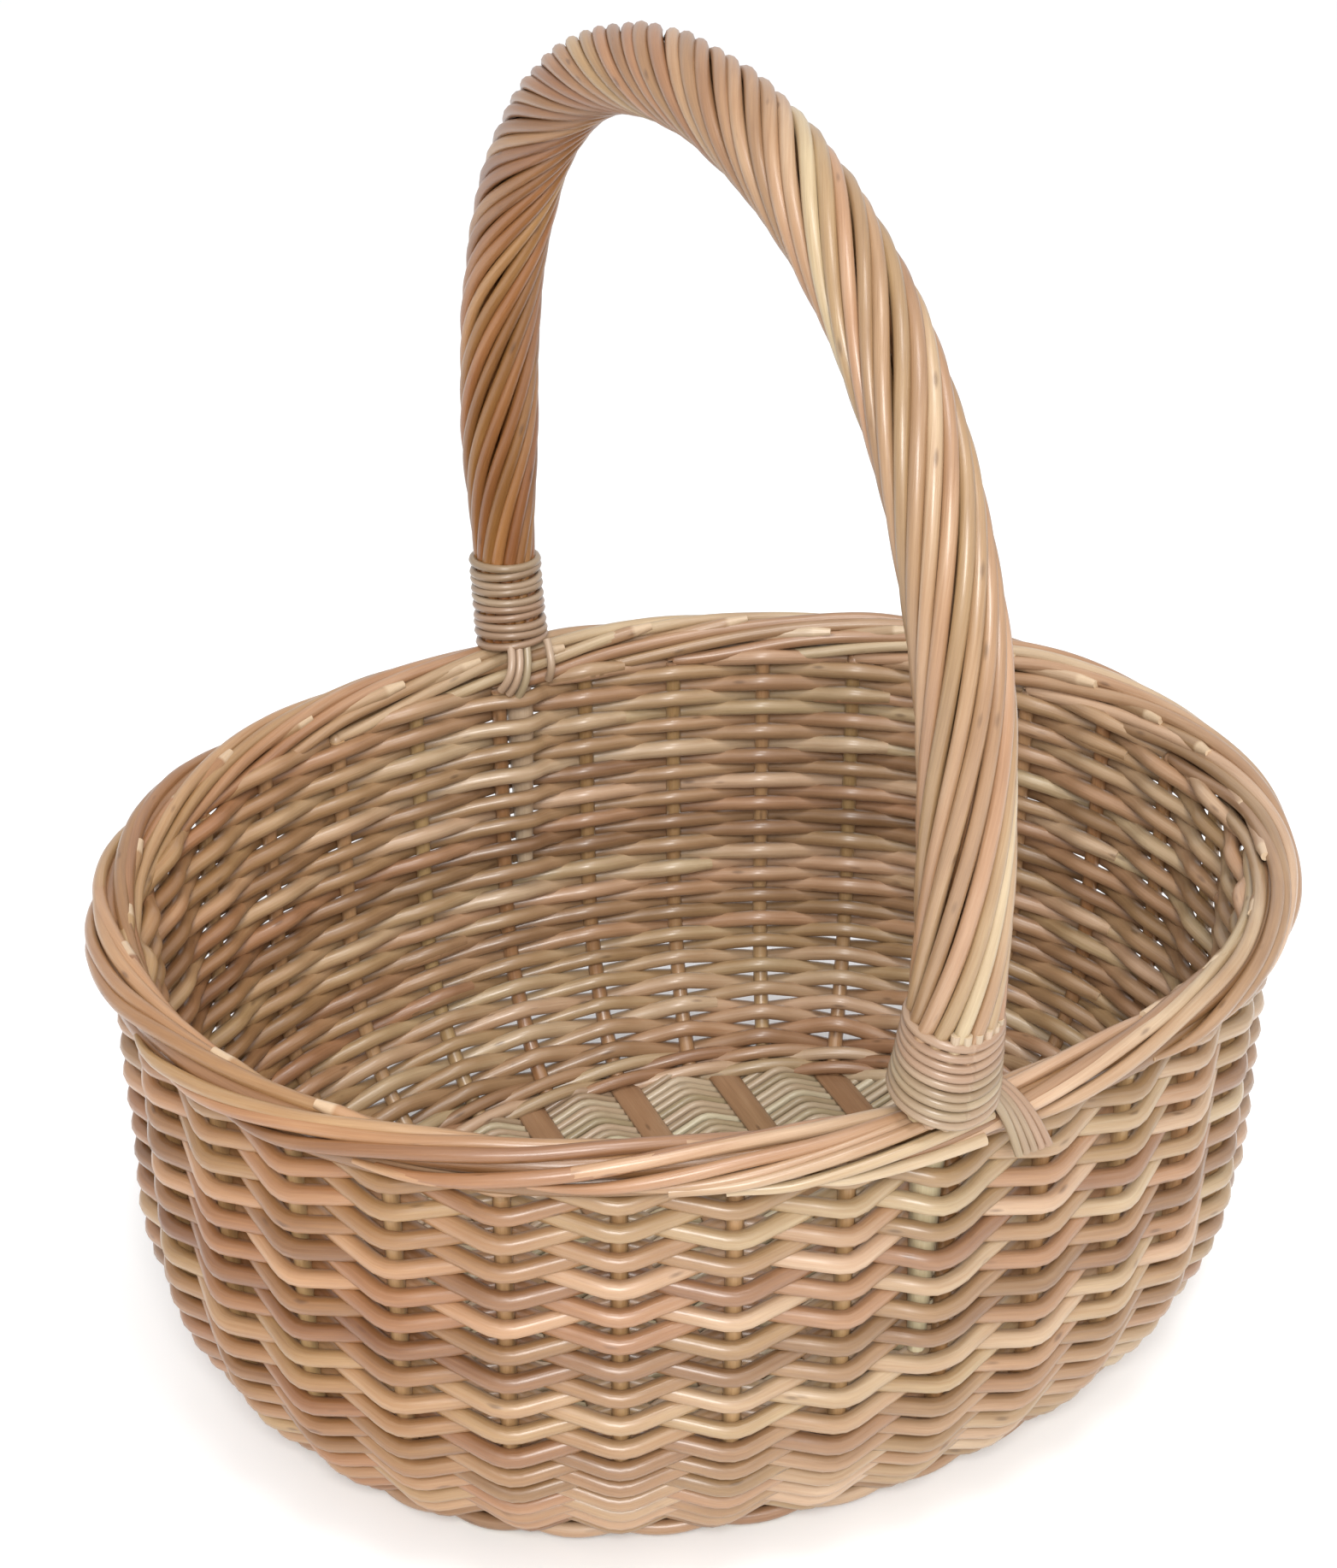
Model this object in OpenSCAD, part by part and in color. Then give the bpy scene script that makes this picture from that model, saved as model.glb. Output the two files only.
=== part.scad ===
// Oval willow market basket with a fixed wrapped bow handle.
//
// Millimetres. The origin is the centre of the base's underside, +X runs along
// the basket's long axis, +Y across it from one handle foot to the other, and
// +Z is up. Every outline is the border's four-arc oval moved inwards by a
// constant distance, so the wall has the same slope all the way round.

/* [Border] */
// Length of the basket over the border
border_length = 400; // [330:1:480]
// Width of the basket over the border
border_width = 337; // [280:1:360]
// Height of the top of the border above the floor
border_top = 181; // [152:1:220]
// Thickness of one border rod
border_rod_d = 8.6; // [7.1:0.1:10]

/* [Wall] */
// Distance from the border's outer edge in to the wall's outer face at its top
border_overhang = 8; // [6:0.5:10]
// Thickness of the woven wall
wall_t = 14; // [12:0.2:17]
// Outward lean of the upright part of the wall, in degrees
wall_lean = 1; // [0:0.5:3]
// Radius of the rounded bottom of the wall
corner_r = 95; // [80:1:110]
// Height at which the rounded bottom meets the upright wall
corner_top = 77; // [65:1:86]
// Number of side stakes, a multiple of four
stake_count = 32; // [24:4:36]
// Thickness of a side stake
stake_d = 5; // [4:0.1:6]

/* [Base] */
// Thickness of the woven base
base_t = 12; // [10:0.5:14]
// Number of slats across the base
slat_count = 15; // [11:2:17]
// Width of a slat
slat_w = 11.5; // [9.5:0.5:13.5]
// Thickness of a slat
slat_t = 4; // [3:0.1:5]

/* [Handle] */
// Height of the top of the handle above the floor
handle_top = 443; // [400:1:500]
// Thickness of the wrapped handle
handle_d = 27.4; // [23:0.2:31]
// Thickness of the core rod inside the handle
core_d = 10; // [8.5:0.1:12]
// Outward lean of the legs where they leave the border, in degrees
leg_lean = 12; // [8:0.5:14]
// Radius of the handle's shoulders
shoulder_r = 147; // [125:1:160]
// Depth that the core rod is driven into the wall
core_depth = 55; // [45:1:65]

/* [Collars] */
// Thickness of a binding rod
binder_d = 3; // [2.5:0.1:3.4]
// Rounds of binding on the near handle foot
near_rounds = 9; // [7:1:10]
// Rounds of binding on the far handle foot
far_rounds = 10; // [7:1:11]

/* [Hidden] */

$fn = 48;
gap = 0.3;               // clearance between neighbouring pieces
cut = 1;                 // overrun of a cutting shape past a face
lap = 0.8;               // length that one arc of a piece runs on into the next
step = 0.1;              // difference in radius between an arc and the next
$inset = 0;

buff = [0.78, 0.62, 0.46];
pale = [0.87, 0.80, 0.68];
golden = [0.66, 0.49, 0.32];

// Four-arc oval: two end arcs within join_a of the X axis and two side arcs
border_a = border_length / 2;
border_b = border_width / 2;
join_a = 66;
arc_shift = (border_a - border_b) / (sin(join_a) + cos(join_a) - 1);
end_x = arc_shift * cos(join_a);
side_y = -arc_shift * sin(join_a);
end_r = border_a - end_x;
side_r = end_r + arc_shift;

// Wall section, as distances from the border's outer edge and heights
wall_top = border_top - 2 * border_rod_d - 2 * gap;
lean_out = [sin(wall_lean), cos(wall_lean)];
lean_in = [-cos(wall_lean), sin(wall_lean)];
corner_x = -border_overhang - (wall_top - corner_top) * tan(wall_lean);
centre = [corner_x, corner_top] + corner_r * lean_in;
floor_a = asin(centre[1] / corner_r);
arc_len = corner_r * (floor_a - wall_lean) * PI / 180;
wall_len = arc_len + (wall_top - corner_top) / cos(wall_lean);
stake_w = wall_t / 2;
stake_phase = 0.38;      // share of a space from the X axis to the first stake

// Lengths along the middle of the wall's top: end arc, side arc, half round, stake space
mid_x = corner_x - stake_w;
end_run = (end_r + mid_x) * join_a * PI / 180;
side_run = (side_r + mid_x) * (180 - 2 * join_a) * PI / 180;
half_run = 2 * end_run + side_run;
stake_pitch = 2 * half_run / stake_count;

section_steps = 6;       // straight steps in a band's curved section
plate_steps = 12;        // straight steps in each arc of the base's outline

// Base, inside the bottom round of the wall
foot_w = 1;              // width of the wale's foot outside the base
base_edge = centre[0] + corner_r * cos(floor_a) - foot_w;
slat_free = 0.6;         // spaces without a slat at the two ends together
slat_pitch = 2 * (border_a + base_edge) / (slat_count + slat_free);
slat_margin = 3;         // distance from a slat's corner to the base's edge

// Lengths along the wall at which one woven band ends and the next begins
upsett_len = 13;
lower_share = 0.36;      // share of the siding below the first change of rods
middle_share = 0.62;     // share of it below the second
lower_end = upsett_len + (wall_len - upsett_len) * lower_share;
middle_end = upsett_len + (wall_len - upsett_len) * middle_share;

// Border rods, two layers of two
rod_pitch = border_rod_d + gap;
border_x = -border_rod_d - gap / 2;
border_z = border_top - border_rod_d - gap / 2;

// Handle bow: leg arc, shoulder arc and crown arc, each tangent to the next
foot_y = border_b + border_x;
foot_z = border_top + gap;
foot_x = stake_phase * stake_pitch - (core_d + stake_d) / 2 - 2 * gap;
handle_turn = asin(foot_x / foot_y);  // sets each foot close beside a stake
core_end_x = corner_x + (foot_z - core_depth - corner_top) * tan(wall_lean) - stake_w;
core_lean = atan((border_x - core_end_x) / core_depth);  // ends the core in mid wall
shoulder_a = 9;
crown_a = 72;
crown_k = (1 - sin(crown_a)) / cos(crown_a);
bow_rise = handle_top - handle_d / 2 - foot_z;
shoulder_rise = shoulder_r * (sin(crown_a) - sin(shoulder_a));
shoulder_run = shoulder_r * (cos(shoulder_a) - cos(crown_a));
leg_rise_k = sin(leg_lean) + sin(shoulder_a);
leg_run_k = cos(shoulder_a) - cos(leg_lean);
leg_r = (bow_rise - shoulder_rise - crown_k * (foot_y - shoulder_run))
      / (leg_rise_k + crown_k * leg_run_k);
leg_c = [foot_y - leg_r * cos(leg_lean), foot_z + leg_r * sin(leg_lean)];
shoulder_c = leg_c + (leg_r - shoulder_r) * [cos(shoulder_a), sin(shoulder_a)];
crown_r = (shoulder_c[0] + shoulder_r * cos(crown_a)) / cos(crown_a);
crown_z = shoulder_c[1] + shoulder_r * sin(crown_a) - crown_r * sin(crown_a);

foot_rise = gap + rod_pitch / 2 * sin(leg_lean);  // lifts the wrap clear of the border

// Collars, bound round a slimmer neck at each foot of the bow
neck_d = handle_d - binder_d;
binder_pitch = binder_d + gap;
neck_rounds = max(near_rounds, far_rounds);
neck_a = (foot_rise + neck_rounds * binder_pitch + gap) / leg_r * 180 / PI;
tail_len = 26;
tail_lean = 35;
near_tails = 4;
far_tails = 3;

// Cut rod ends on the inner side of the border
peg_len = 6;
peg_d = 5;

// ---- oval helpers ----

// Sweeps a section, drawn with x as the distance from the border's outer edge,
// once round the oval. The side arcs are thinner by $inset all round and run
// on into the end arcs, so that the four join into one piece.
module round_oval() {
    lap_a = lap / side_r * 180 / PI;
    for (side = [0, 180]) {
        rotate([0, 0, side])
            translate([end_x, 0, 0])
                rotate_extrude(angle = 2 * join_a, start = -join_a)
                    translate([end_r, 0])
                        children($inset = 0);
        rotate([0, 0, side])
            translate([0, side_y, 0])
                rotate_extrude(angle = 180 - 2 * join_a + 2 * lap_a, start = join_a - lap_a)
                    translate([side_r, 0])
                        children($inset = step);
    }
}

// Half the oval's width at x, for the oval moved by off
function oval_y(x, off) =
    abs(x) < side_r * cos(join_a)
        ? side_y + sqrt(pow(side_r + off, 2) - x * x)
        : sqrt(pow(end_r + off, 2) - pow(abs(x) - end_x, 2));

// Half the length of the slat at x, whose corners stay slat_margin inside the base's edge
function slat_half(x) = oval_y(abs(x) + slat_w / 2, base_edge) - slat_margin;

// Points of a quarter of the oval, n steps to each arc
function oval_quarter(off, n) = concat(
    [for (i = [0 : n])
        let (a = join_a * i / n)
        [end_x + (end_r + off) * cos(a), (end_r + off) * sin(a)]],
    [for (i = [1 : n])
        let (a = join_a + (90 - join_a) * i / n)
        [(side_r + off) * cos(a), side_y + (side_r + off) * sin(a)]]
);

module oval_plate(off, z, t) {
    quarter = oval_quarter(off, plate_steps);
    last = len(quarter) - 1;
    outline = concat(
        quarter,
        [for (i = [last - 1 : -1 : 0]) [-quarter[i][0], quarter[i][1]]],
        [for (i = [1 : last]) [-quarter[i][0], -quarter[i][1]]],
        [for (i = [last - 1 : -1 : 1]) [quarter[i][0], -quarter[i][1]]]
    );
    translate([0, 0, z])
        linear_extrude(height = t)
            polygon(outline);
}

// Puts children at every stake, with +X pointing out of the basket and the
// origin on the border's outer edge at floor height
module at_stakes() {
    for (i = [0 : stake_count - 1]) {
        run = (i + stake_phase) * stake_pitch;
        past_half = run >= half_run;
        t = past_half ? run - half_run : run;
        on_side = t >= end_run && t < end_run + side_run;
        a = on_side ? join_a + (t - end_run) / (side_r + mid_x) * 180 / PI
          : t < end_run ? t / (end_r + mid_x) * 180 / PI
          : 180 - (half_run - t) / (end_r + mid_x) * 180 / PI;
        rotate([0, 0, past_half ? 180 : 0])
            translate(on_side ? [0, side_y, 0] : [a < 90 ? end_x : -end_x, 0, 0])
                rotate([0, 0, a])
                    translate([on_side ? side_r : end_r, 0, 0])
                        children();
    }
}

// ---- wall helpers ----

// Point of the wall's section at length s up from the floor and depth w in
function wall_pt(s, w) =
    s < arc_len
        ? let (a = floor_a - s / corner_r * 180 / PI)
          centre + (corner_r - w) * [cos(a), -sin(a)]
        : [corner_x, corner_top] + (s - arc_len) * lean_out + w * lean_in;

// Points along the wall's section at depth w, from length s1 to s2
function wall_line(s1, s2, w) =
    [for (i = [0 : section_steps]) wall_pt(s1 + (s2 - s1) * i / section_steps, w)];

module wall_section(s1, s2) {
    polygon(concat(
        wall_line(s1 + $inset, s2 - $inset, $inset),
        wall_line(s2 - $inset, s1 + $inset, wall_t - $inset)
    ));
}

// One stake standing on its line through the wall, from s1 to the wall's top
module stake_rod(s1, d, top) {
    a1 = floor_a - s1 / corner_r * 180 / PI;
    foot = wall_pt(arc_len - lap, stake_w);
    translate([centre[0], 0, centre[1]])
        rotate([90, 0, 0])
            rotate_extrude(angle = a1 - wall_lean, start = -a1)
                translate([corner_r - stake_w, 0])
                    circle(d = d);
    translate([foot[0], 0, foot[1]])
        rotate([0, wall_lean, 0])
            cylinder(d = d - 2 * step, h = lap + wall_len - arc_len + top);
}

// ---- handle helpers ----

// Part of a bow arc about c from angle a1 to a2 in the YZ plane
module bow_arc(c, r, a1, a2) {
    translate([0, c[0], c[1]])
        rotate([90, 0, 90])
            rotate_extrude(angle = a2 - a1, start = a1)
                translate([r, 0])
                    children();
}

module core_leg(d, rise) {
    translate([0, foot_y, foot_z])
        rotate([-core_lean, 0, 0])
            translate([0, 0, -core_depth])
                cylinder(d = d, h = core_depth + rise);
}

// Puts children at the far foot of the turned handle and, turned half round, at the near one
module at_feet() {
    for (turn = [0, 180])
        rotate([0, 0, turn + handle_turn])
            children();
}

// Cuts the two holes through which the core rod enters the border and wall
module core_holes() {
    at_feet()
        core_leg(core_d + 2 * gap, cut);
}

// Binding rounds stacked up one foot of the bow
module binding(rounds) {
    for (i = [0 : rounds - 1]) {
        a = -leg_lean + (foot_rise + (i + 0.5) * binder_pitch) / leg_r * 180 / PI;
        translate([0, leg_c[0], leg_c[1]])
            rotate([a, 0, 0])
                translate([0, leg_r, 0])
                    rotate_extrude()
                        translate([neck_d / 2 + gap + binder_d / 2, 0])
                            circle(d = binder_d);
    }
}

// ---- pieces ----

module base_weave() {
    slot = slat_t + 2 * gap;
    color(pale)
        difference() {
            oval_plate(base_edge, 0, base_t);
            for (i = [0 : slat_count - 1]) {
                x = (i - (slat_count - 1) / 2) * slat_pitch;
                half = slat_half(x) + gap;
                translate([x - slat_w / 2 - gap, -half, (base_t - slot) / 2])
                    cube([slat_w + 2 * gap, 2 * half, slot]);
            }
        }
}

module base_cross_slats() {
    color(buff)
        for (i = [0 : slat_count - 1]) {
            x = (i - (slat_count - 1) / 2) * slat_pitch;
            half = slat_half(x);
            translate([x - slat_w / 2, -half, (base_t - slat_t) / 2])
                cube([slat_w, 2 * half, slat_t]);
        }
}

module upsett_section() {
    top = upsett_len - gap - $inset;
    x = base_edge + gap + $inset;
    polygon(concat(
        wall_line($inset, top, $inset),
        [wall_pt(top, wall_t - $inset), [x, base_t + gap], [x, 0]]
    ));
}

module upsett_wale() {
    color(buff)
        round_oval()
            upsett_section();
}

module side_stakes() {
    color(golden)
        at_stakes()
            stake_rod(upsett_len, stake_d, -gap);
}

module siding_band(s1, s2) {
    difference() {
        round_oval()
            wall_section(s1, s2);
        at_stakes()
            stake_rod(upsett_len - cut, stake_d + 2 * gap, cut);
    }
}

module lower_siding() {
    color(buff)
        siding_band(upsett_len, lower_end - gap);
}

module middle_siding() {
    color(buff)
        siding_band(lower_end, middle_end - gap);
}

module upper_siding() {
    color(buff)
        difference() {
            siding_band(middle_end, wall_len);
            core_holes();
        }
}

module border_rods(x) {
    difference() {
        for (layer = [-1, 1])
            round_oval()
                translate([x, border_z + layer * rod_pitch / 2])
                    circle(d = border_rod_d - 2 * $inset);
        core_holes();
    }
}

module border_outer_rods() {
    color(buff)
        border_rods(border_x + rod_pitch / 2);
}

module border_inner_rods() {
    color(buff)
        border_rods(border_x - rod_pitch / 2);
}

module border_rod_ends() {
    inner = border_x - rod_pitch / 2 - border_rod_d / 2 - gap;
    color(pale)
        at_stakes()
            translate([inner - peg_len, 0, border_z + rod_pitch / 2])
                rotate([0, 90, 0])
                    cylinder(d = peg_d, h = peg_len);
}

// The bow's arcs from foot to foot. Each is a little thinner than the last one
// and runs on into it, so that they join into one piece.
module bow(from_a) {
    at_feet() {
        bow_arc(leg_c, leg_r, from_a, shoulder_a + lap / leg_r * 180 / PI)
            children($inset = 2 * step);
        bow_arc(shoulder_c, shoulder_r, shoulder_a, crown_a + lap / shoulder_r * 180 / PI)
            children($inset = step);
    }
    rotate([0, 0, handle_turn])
        bow_arc([0, crown_z], crown_r, crown_a, 180 - crown_a)
            children($inset = 0);
}

module handle_core() {
    color(pale) {
        at_feet()
            core_leg(core_d - 6 * step, lap);
        bow(-leg_lean)
            circle(d = core_d - 2 * $inset);
    }
}

module sleeve(d) {
    difference() {
        circle(d = d - 2 * $inset);
        circle(d = core_d + 2 * gap - 2 * $inset);
    }
}

module handle_wrap_rods() {
    neck_end = -leg_lean + neck_a;
    foot_skip = foot_rise / leg_r * 180 / PI;
    neck_lap = lap / leg_r * 180 / PI;
    color(buff) {
        at_feet()
            bow_arc(leg_c, leg_r, foot_skip - leg_lean, neck_end + neck_lap)
                sleeve(neck_d, $inset = 3 * step);
        bow(neck_end)
            sleeve(handle_d);
    }
}

module near_collar() {
    color(golden)
        rotate([0, 0, 180 + handle_turn])
            binding(near_rounds);
}

module far_collar() {
    color(golden)
        rotate([0, 0, handle_turn])
            binding(far_rounds);
}

// Binding tails laid side by side against the outside of the border
module near_collar_tails() {
    y = border_b + gap + binder_d / 2;
    color(golden)
        for (i = [0 : near_tails - 1])
            translate([foot_x + handle_d / 2 + i * binder_pitch / cos(tail_lean), -y, border_top])
                rotate([0, 180 - tail_lean, 0])
                    cylinder(d = binder_d, h = tail_len);
}

// Binding tails tucked down between the border and the inside of the wall
module far_collar_tails() {
    y = border_b - border_overhang - wall_t - 2 * gap - binder_d;
    color(golden)
        for (i = [0 : far_tails - 1])
            translate([i * binder_pitch - foot_x - handle_d / 2, y, border_top - tail_len])
                cylinder(d = binder_d, h = tail_len);
}

base_weave();
base_cross_slats();
upsett_wale();
side_stakes();
lower_siding();
middle_siding();
upper_siding();
border_outer_rods();
border_inner_rods();
border_rod_ends();
handle_core();
handle_wrap_rods();
near_collar();
far_collar();
near_collar_tails();
far_collar_tails();
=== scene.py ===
"""Woven willow market basket, built rod by rod around the CAD model.

Lengths inside this script are millimetres and become metres when a mesh is
made. The wall is described by three values: u, the share of the way round the
oval from the +X end; s, the length up the wall from the floor; and w, the depth
into the wall from its outer face. k counts stakes round the oval, and t runs
from 0 to 1 along a rod.
"""
import math

import bpy
import numpy as np
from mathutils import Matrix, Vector


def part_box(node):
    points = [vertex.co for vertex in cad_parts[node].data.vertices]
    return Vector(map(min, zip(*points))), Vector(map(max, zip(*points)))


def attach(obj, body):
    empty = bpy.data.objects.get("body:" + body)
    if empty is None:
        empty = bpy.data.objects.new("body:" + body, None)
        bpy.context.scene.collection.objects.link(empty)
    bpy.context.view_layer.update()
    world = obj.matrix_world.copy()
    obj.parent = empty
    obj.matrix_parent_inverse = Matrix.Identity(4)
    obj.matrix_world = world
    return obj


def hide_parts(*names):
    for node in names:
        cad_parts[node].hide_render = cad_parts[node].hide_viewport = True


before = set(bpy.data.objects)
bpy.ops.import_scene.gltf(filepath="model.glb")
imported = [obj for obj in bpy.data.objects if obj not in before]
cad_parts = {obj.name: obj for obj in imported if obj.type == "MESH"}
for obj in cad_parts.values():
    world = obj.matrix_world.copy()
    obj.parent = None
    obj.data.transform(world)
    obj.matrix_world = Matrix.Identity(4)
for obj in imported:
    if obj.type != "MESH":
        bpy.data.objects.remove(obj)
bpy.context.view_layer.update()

MM = 0.001
TAU = 2 * math.pi

# ---- sizes taken from the frame ----


def cad(node):
    """The low and high corners of a CAD node's box, in millimetres."""
    low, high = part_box(node)
    return np.array(low) / MM, np.array(high) / MM


border_high = cad("border_outer_rods")[1]
base_high = cad("base_weave")[1]
wrap_high = cad("handle_wrap_rods")[1]
foot_low, foot_high = cad("near_collar")
foot_mid = (foot_low + foot_high) / 2

BORDER_A = border_high[0]            # half the length over the border
BORDER_B = border_high[1]            # half the width over the border
BORDER_TOP = border_high[2]
BASE_A = base_high[0]                # half the length of the base
BASE_T = base_high[2]
HANDLE_TOP = wrap_high[2]
FOOT_X = foot_mid[0]                 # how far the near foot stands from the middle
HANDLE_TURN = math.atan2(FOOT_X, -foot_mid[1])

# ---- sizes of the CAD model that the frame's boxes don't give ----
HANDLE_R = 13.7
BORDER_ROD = 8.6                     # one rod of the CAD border
GAP = 0.3
OVERHANG = 8.0                       # from the border's outer edge in to the wall's face
WALL_T = 14.0
WALL_LEAN = math.radians(1)
CORNER_R = 95.0                      # the rounded bottom of the wall
CORNER_TOP = 77.0
STAKES = 32
STAKE_PHASE = 0.38                   # how far the first stake is past the +X end, in stakes
JOIN_A = math.radians(66)            # where the oval's end arcs meet its side arcs

ARC_SHIFT = (BORDER_A - BORDER_B) / (math.sin(JOIN_A) + math.cos(JOIN_A) - 1)
END_X = ARC_SHIFT * math.cos(JOIN_A)
SIDE_Y = -ARC_SHIFT * math.sin(JOIN_A)
END_R = BORDER_A - END_X
SIDE_R = END_R + ARC_SHIFT

WALL_TOP = BORDER_TOP - 2 * BORDER_ROD - 2 * GAP
CORNER_X = -OVERHANG - (WALL_TOP - CORNER_TOP) * math.tan(WALL_LEAN)
CENTRE = np.array([CORNER_X - CORNER_R * math.cos(WALL_LEAN),
                   CORNER_TOP + CORNER_R * math.sin(WALL_LEAN)])
FLOOR_A = math.asin(CENTRE[1] / CORNER_R)
ARC_LEN = CORNER_R * (FLOOR_A - WALL_LEAN)
WALL_LEN = ARC_LEN + (WALL_TOP - CORNER_TOP) / math.cos(WALL_LEAN)
MID_W = WALL_T / 2
BORDER_OFF = -BORDER_ROD - GAP / 2   # border's centre, from its outer edge
BORDER_Z = BORDER_TOP - BORDER_ROD - GAP / 2

# ---- rod sizes ----
ROW_PITCH = 5.1
WEAVER_R = 3.0
STAKE_R = 2.75
WEAVE_AMP = 4.5                      # how far a siding rod swings in and out
WEAVE_SAG = 2.35                     # how much lower a rod lies outside a stake than midway
LOW_SAG = 1.1                        # the same at the bottom of the wall
WALE_LEN = 13.0                      # length of wall that the wale covers
WALE_R = 2.58
BORDER_R = 2.3
BORDER_RING = 6.5                    # from the border's centre line to its rods
BORDER_TALL = 1.2                    # the border is a little taller than it is wide
BORDER_DROP = 1.4

# ---- the oval ----
MID_OFF = CORNER_X - MID_W
END_RUN = (END_R + MID_OFF) * JOIN_A
SIDE_RUN = (SIDE_R + MID_OFF) * (math.pi - 2 * JOIN_A)
HALF_RUN = 2 * END_RUN + SIDE_RUN
ROUND = 2 * HALF_RUN
STAKE_GAP = ROUND / STAKES


def oval(u, off):
    """Points at shares u of the way round the oval moved by off, and the outward directions."""
    u = np.asarray(u, float) % 1.0
    run = u * ROUND
    back = run >= HALF_RUN
    t = np.where(back, run - HALF_RUN, run)
    first = t < END_RUN
    side = (t >= END_RUN) & (t < END_RUN + SIDE_RUN)
    a = np.where(first, t / (END_R + MID_OFF),
                 np.where(side, JOIN_A + (t - END_RUN) / (SIDE_R + MID_OFF),
                          math.pi - (HALF_RUN - t) / (END_R + MID_OFF)))
    cx = np.where(side, 0.0, np.where(first, END_X, -END_X))
    cy = np.where(side, SIDE_Y, 0.0)
    r = np.where(side, SIDE_R, END_R) + off
    sign = np.where(back, -1.0, 1.0)
    n = np.stack([np.cos(a) * sign, np.sin(a) * sign], -1)
    p = np.stack([cx * sign, cy * sign], -1) + n * r[..., None]
    return p, n


def wall(s, w):
    """Offset from the border's edge and height of a wall point, and the wall's outward direction."""
    s = np.asarray(s, float)
    w = np.asarray(w, float)
    a = np.where(s < ARC_LEN, FLOOR_A - s / CORNER_R, WALL_LEAN)
    off_arc = CENTRE[0] + (CORNER_R - w) * np.cos(a)
    z_arc = CENTRE[1] - (CORNER_R - w) * np.sin(a)
    off_up = CORNER_X + (s - ARC_LEN) * math.sin(WALL_LEAN) - w * math.cos(WALL_LEAN)
    z_up = CORNER_TOP + (s - ARC_LEN) * math.cos(WALL_LEAN) + w * math.sin(WALL_LEAN)
    low = s < ARC_LEN
    return np.where(low, off_arc, off_up), np.where(low, z_arc, z_up), np.cos(a), -np.sin(a)


def surf(u, s, w):
    """Points of the wall and its outward directions."""
    off, z, no, nz = wall(s, w)
    p, n = oval(u, off)
    z = np.broadcast_to(z, p.shape[:-1])
    no = np.broadcast_to(no, p.shape[:-1])
    nz = np.broadcast_to(nz, p.shape[:-1])
    return (np.concatenate([p, z[..., None]], -1),
            np.concatenate([n * no[..., None], nz[..., None]], -1))


def ring_pt(u, angle, rho):
    """Points round the border's centre line: angle 0 is outwards and 90 degrees is up."""
    off = BORDER_OFF + rho * np.cos(angle)
    z = BORDER_Z - BORDER_DROP + rho * BORDER_TALL * np.sin(angle)
    p, n = oval(u, off)
    pts = np.concatenate([p, z[..., None]], -1)
    out = np.concatenate([n * np.cos(angle)[..., None], np.sin(angle)[..., None]], -1)
    return pts, out


def round_u(k):
    """Share of the way round at stake k, which may be between two stakes."""
    return (k + STAKE_PHASE) / STAKES


# ---- rods ----
rng = np.random.default_rng(41)
GRAIN_SPREAD = 400                   # keeps one rod's grain away from another's
WAVES_PEAK = 1.6                     # highest sum of the three waves in wobble
# painted warm shade: rods towards the basket's -X end are painted darker and more orange, as the
# shade on that side
PAINTED_SHADE_MOST = 0.6
PAINTED_SHADE_FROM, PAINTED_SHADE_RUN = 30, 120    # where the painted warm shade starts, and how far it grows
BARE_WOOD = 0.65                     # how much a cut end is bare wood


def smooth(points, rounds):
    """Evens out a path and keeps its two ends."""
    p = points.copy()
    for _ in range(rounds):
        p[1:-1] = (p[:-2] + 2 * p[1:-1] + p[2:]) / 4
    return p


def wobble(n, waves, size):
    """A smooth seeded variation of n values."""
    t = np.linspace(0, 1, n)
    v = np.zeros(n)
    for k in range(1, 4):
        v += np.sin(TAU * (t * waves * k / 2 + rng.random())) / k
    return v * size / WAVES_PEAK


def painted_shade_at(p):
    """How much painted warm shade a rod gets at p: rods towards the basket's -X end are painted
    darker and more orange, as shade.
    """
    return PAINTED_SHADE_MOST * np.clip((-p[:, 0] - PAINTED_SHADE_FROM) / PAINTED_SHADE_RUN, 0, 1)


def unit(v):
    return v / np.linalg.norm(v)


def unit_rows(v):
    return v / np.linalg.norm(v, axis=1)[:, None]


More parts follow.
